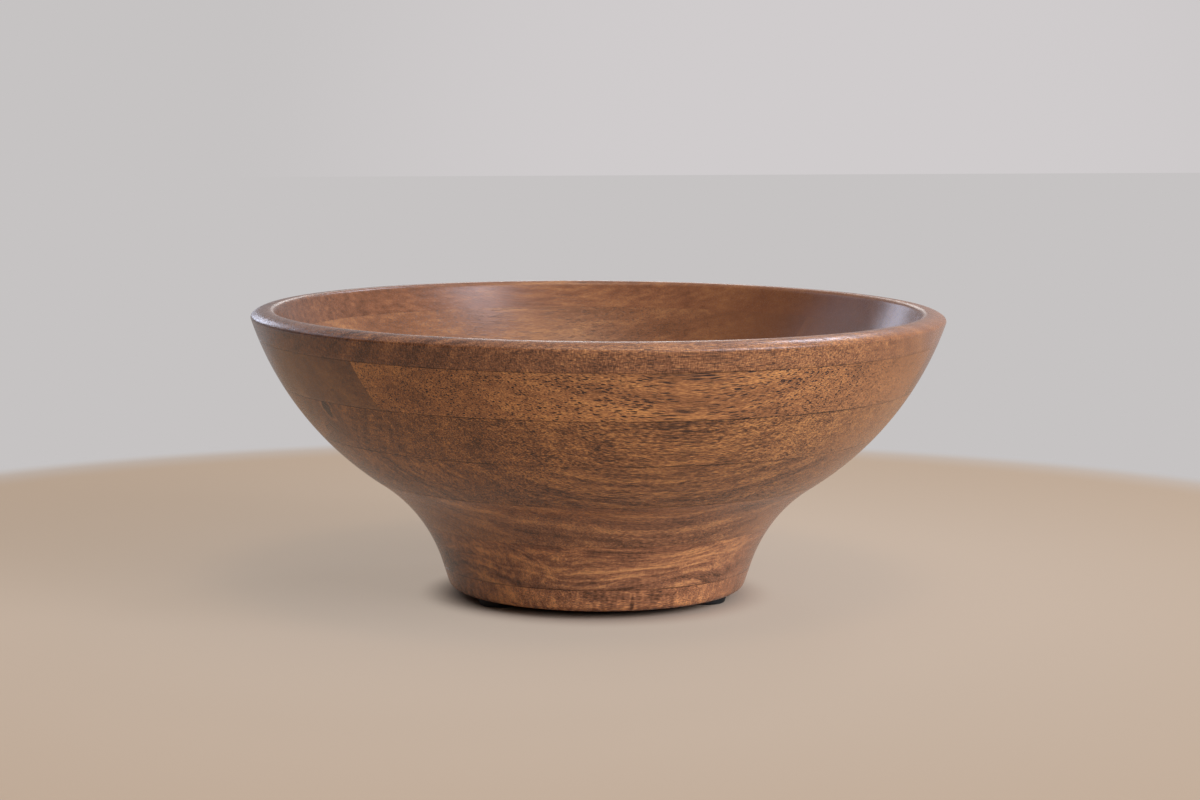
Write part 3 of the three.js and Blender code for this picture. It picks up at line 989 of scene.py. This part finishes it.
def set_floor(context, stage):
    """A level square under the bowl, matt, with a painted shadow under the foot. Beyond the foot it also
    glows, for the camera and for reflections only, so that the glow lights nothing: near the foot this glow
    is painted light, which lifts the floor's shadow and shows in the wood's reflections. With the distance
    from the bowl the glow takes the backdrop's colour and covers all, so that no edge shows."""
    mesh = bpy.data.meshes.new("floor")
    corners = np.array([(-1, -1, 0), (1, -1, 0), (1, 1, 0), (-1, 1, 0)]) * FLOOR_HALF
    mesh.from_pydata(corners.tolist(), [], [(0, 1, 2, 3)])
    material = new_material("matt_pale_floor")
    tree = material.node_tree
    place = add(tree, "ShaderNodeTexCoord", out=3)
    away = add(tree, VECTOR, {0: place}, out=1, operation="LENGTH")
    start, end = (stage.floor_reach * part for part in FLOOR_FADE)
    # Ramps by distance: the fade into the backdrop, painted light round the foot, painted shadow under the
    # foot, and the turn of the glow's colour
    fade, painted_light_round_foot, under, outwards = (
        add(tree, RANGE, {"Value": away, **change}, interpolation_type="SMOOTHSTEP")
        for change in ({"From Min": start, "From Max": end}, FLOOR_PAINTED_LIGHT, FLOOR_PAINTED_SHADOW, GLOW_TURN)
    )
    # Painted shadow: the floor's colour darkened towards black under the foot
    painted_shadow_floor = add(tree, MIX, {0: under, 6: linear("000000"), 7: tuple(stage.floor)}, out=2, data_type="RGBA")
    matt = add(tree, "ShaderNodeBsdfDiffuse", {"Color": painted_shadow_floor, "Roughness": FLOOR_ROUGHNESS})
    own = add(tree, MIX, {0: outwards, 6: linear(GLOW_NEAR), 7: linear(GLOW_AWAY)}, out=2, data_type="RGBA")
    own = add(tree, MIX, {0: fade, 6: own, 7: tuple(stage.backdrop)}, out=2, data_type="RGBA")
    far = add(tree, "ShaderNodeEmission", {"Color": own})
    # The glow: the fade into the backdrop, and painted light round the foot, for camera and glossy rays
    # only
    level = add(tree, MATH, {0: fade, 1: painted_light_round_foot}, operation="MAXIMUM")
    camera_ray = add(tree, "ShaderNodeLightPath", out="Is Camera Ray")
    glossy_ray = add(tree, "ShaderNodeLightPath", out="Is Glossy Ray")
    seen = add(tree, MATH, {0: camera_ray, 1: glossy_ray}, operation="MAXIMUM")
    glow = add(tree, MATH, {0: level, 1: seen}, operation="MULTIPLY")
    surface = add(tree, "ShaderNodeMixShader", {0: glow, 1: matt, 2: far})
    add(tree, "ShaderNodeOutputMaterial", {"Surface": surface})
    mesh.materials.append(material)
    floor = bpy.data.objects.new("floor", mesh)
    context.scene.collection.objects.link(floor)


def towards(stage, azimuth, elevation):
    """Unit vector with an azimuth from the camera's side of the bowl towards the right, and an
    elevation, both in degrees."""
    turn = stage.view_azimuth + math.radians(azimuth)
    level = math.radians(elevation)
    return Vector((math.sin(turn) * math.cos(level), -math.cos(turn) * math.cos(level), math.sin(level)))


def set_world(context, stage):
    """Light from all round, strongest from the wall behind the bowl: it follows the cosine of the angle
    to the brightest direction. The camera sees that wall as plain and a little paler in the middle."""
    world = bpy.data.worlds.new("studio")
    world.use_nodes = True
    tree = world.node_tree
    tree.nodes.clear()
    way = add(tree, "ShaderNodeTexCoord", out=0)
    behind, straight = (
        add(tree, VECTOR, {0: way, 1: tuple(direction)}, out=1, operation="DOT_PRODUCT")
        for direction in (towards(stage, *ROOM_BRIGHTEST), towards(stage, *PALER_MIDDLE))
    )
    strength = add(tree, RANGE, {"Value": behind, **ROOM_STRENGTH}, interpolation_type="SMOOTHSTEP")
    room = add(tree, "ShaderNodeBackground", {"Color": linear(ROOM_COLOR), "Strength": strength})
    paler = add(
        tree, RANGE, {"Value": straight, "From Min": math.cos(PALER_REACH)},
        interpolation_type="SMOOTHSTEP",
    )
    wall = add(
        tree, MIX, {0: paler, 6: tuple(stage.backdrop), 7: linear(PALER_COLOR)}, out=2, data_type="RGBA"
    )
    backdrop = add(tree, "ShaderNodeBackground", {"Color": wall, "Strength": 1.0})
    seen = add(tree, "ShaderNodeLightPath", out="Is Camera Ray")
    surface = add(tree, "ShaderNodeMixShader", {0: seen, 1: room, 2: backdrop})
    add(tree, "ShaderNodeOutputWorld", {"Surface": surface})
    context.scene.world = world


def set_lamps(context, stage):
    """Round area lamps, each turned to face the aim: a lamp shines along its own -Z."""
    aim = Vector(LAMP_AIM)
    for name, (azimuth, elevation, distance, side, power, hex_color) in LAMPS.items():
        lamp = bpy.data.lights.new(name, "AREA")
        lamp.shape = "DISK"
        lamp.size = side
        lamp.energy = power
        lamp.color = linear(hex_color)[:3]
        way = towards(stage, azimuth, elevation)
        holder = bpy.data.objects.new(name, lamp)
        context.scene.collection.objects.link(holder)
        holder.location = aim + distance * way
        holder.rotation_euler = way.to_track_quat("Z", "Y").to_euler()


class BOWL_PT_sidebar(bpy.types.Panel):
    """Lists the operators that build the bowl and its stage"""

    bl_label = "Serving Bowl"
    bl_idname = "BOWL_PT_sidebar"
    bl_space_type = "VIEW_3D"
    bl_region_type = "UI"
    bl_category = "Bowl"

    def draw(self, context):
        for operator in OPERATORS:
            self.layout.operator(operator.bl_idname)
        for group in SETTINGS:
            box = self.layout.box()
            for name in getattr(context.scene, group).bl_rna.properties.keys():
                if name not in ("rna_type", "name"):
                    box.prop(getattr(context.scene, group), name)


OPERATORS = (
    BOWL_OT_set_stage, BOWL_OT_turn_foot, BOWL_OT_turn_base, BOWL_OT_turn_cove, BOWL_OT_turn_belly,
    BOWL_OT_turn_shoulder, BOWL_OT_turn_wall, BOWL_OT_turn_rim, BOWL_OT_stick_pads,
)
SETTINGS = {
    "bowl_turning": BowlTurningSizes,
    "bowl_pads": BowlPadSizes,
    "bowl_wood": BowlWoodFinish,
    "bowl_stage": BowlStageLook,
}


def register():
    for cls in (*SETTINGS.values(), *OPERATORS, BOWL_PT_sidebar):
        bpy.utils.register_class(cls)
    for name, cls in SETTINGS.items():
        setattr(bpy.types.Scene, name, PointerProperty(type=cls))


def unregister():
    for name in SETTINGS:
        delattr(bpy.types.Scene, name)
    for cls in (BOWL_PT_sidebar, *reversed(OPERATORS), *reversed(tuple(SETTINGS.values()))):
        bpy.utils.unregister_class(cls)


def main():
    register()
    bpy.ops.bowl.set_stage()
    bpy.ops.bowl.turn_foot()
    bpy.ops.bowl.turn_base()
    bpy.ops.bowl.turn_cove()
    bpy.ops.bowl.turn_belly()
    bpy.ops.bowl.turn_shoulder()
    bpy.ops.bowl.turn_wall()
    bpy.ops.bowl.turn_rim()
    bpy.ops.bowl.stick_pads()


if __name__ == "__main__":
    main()
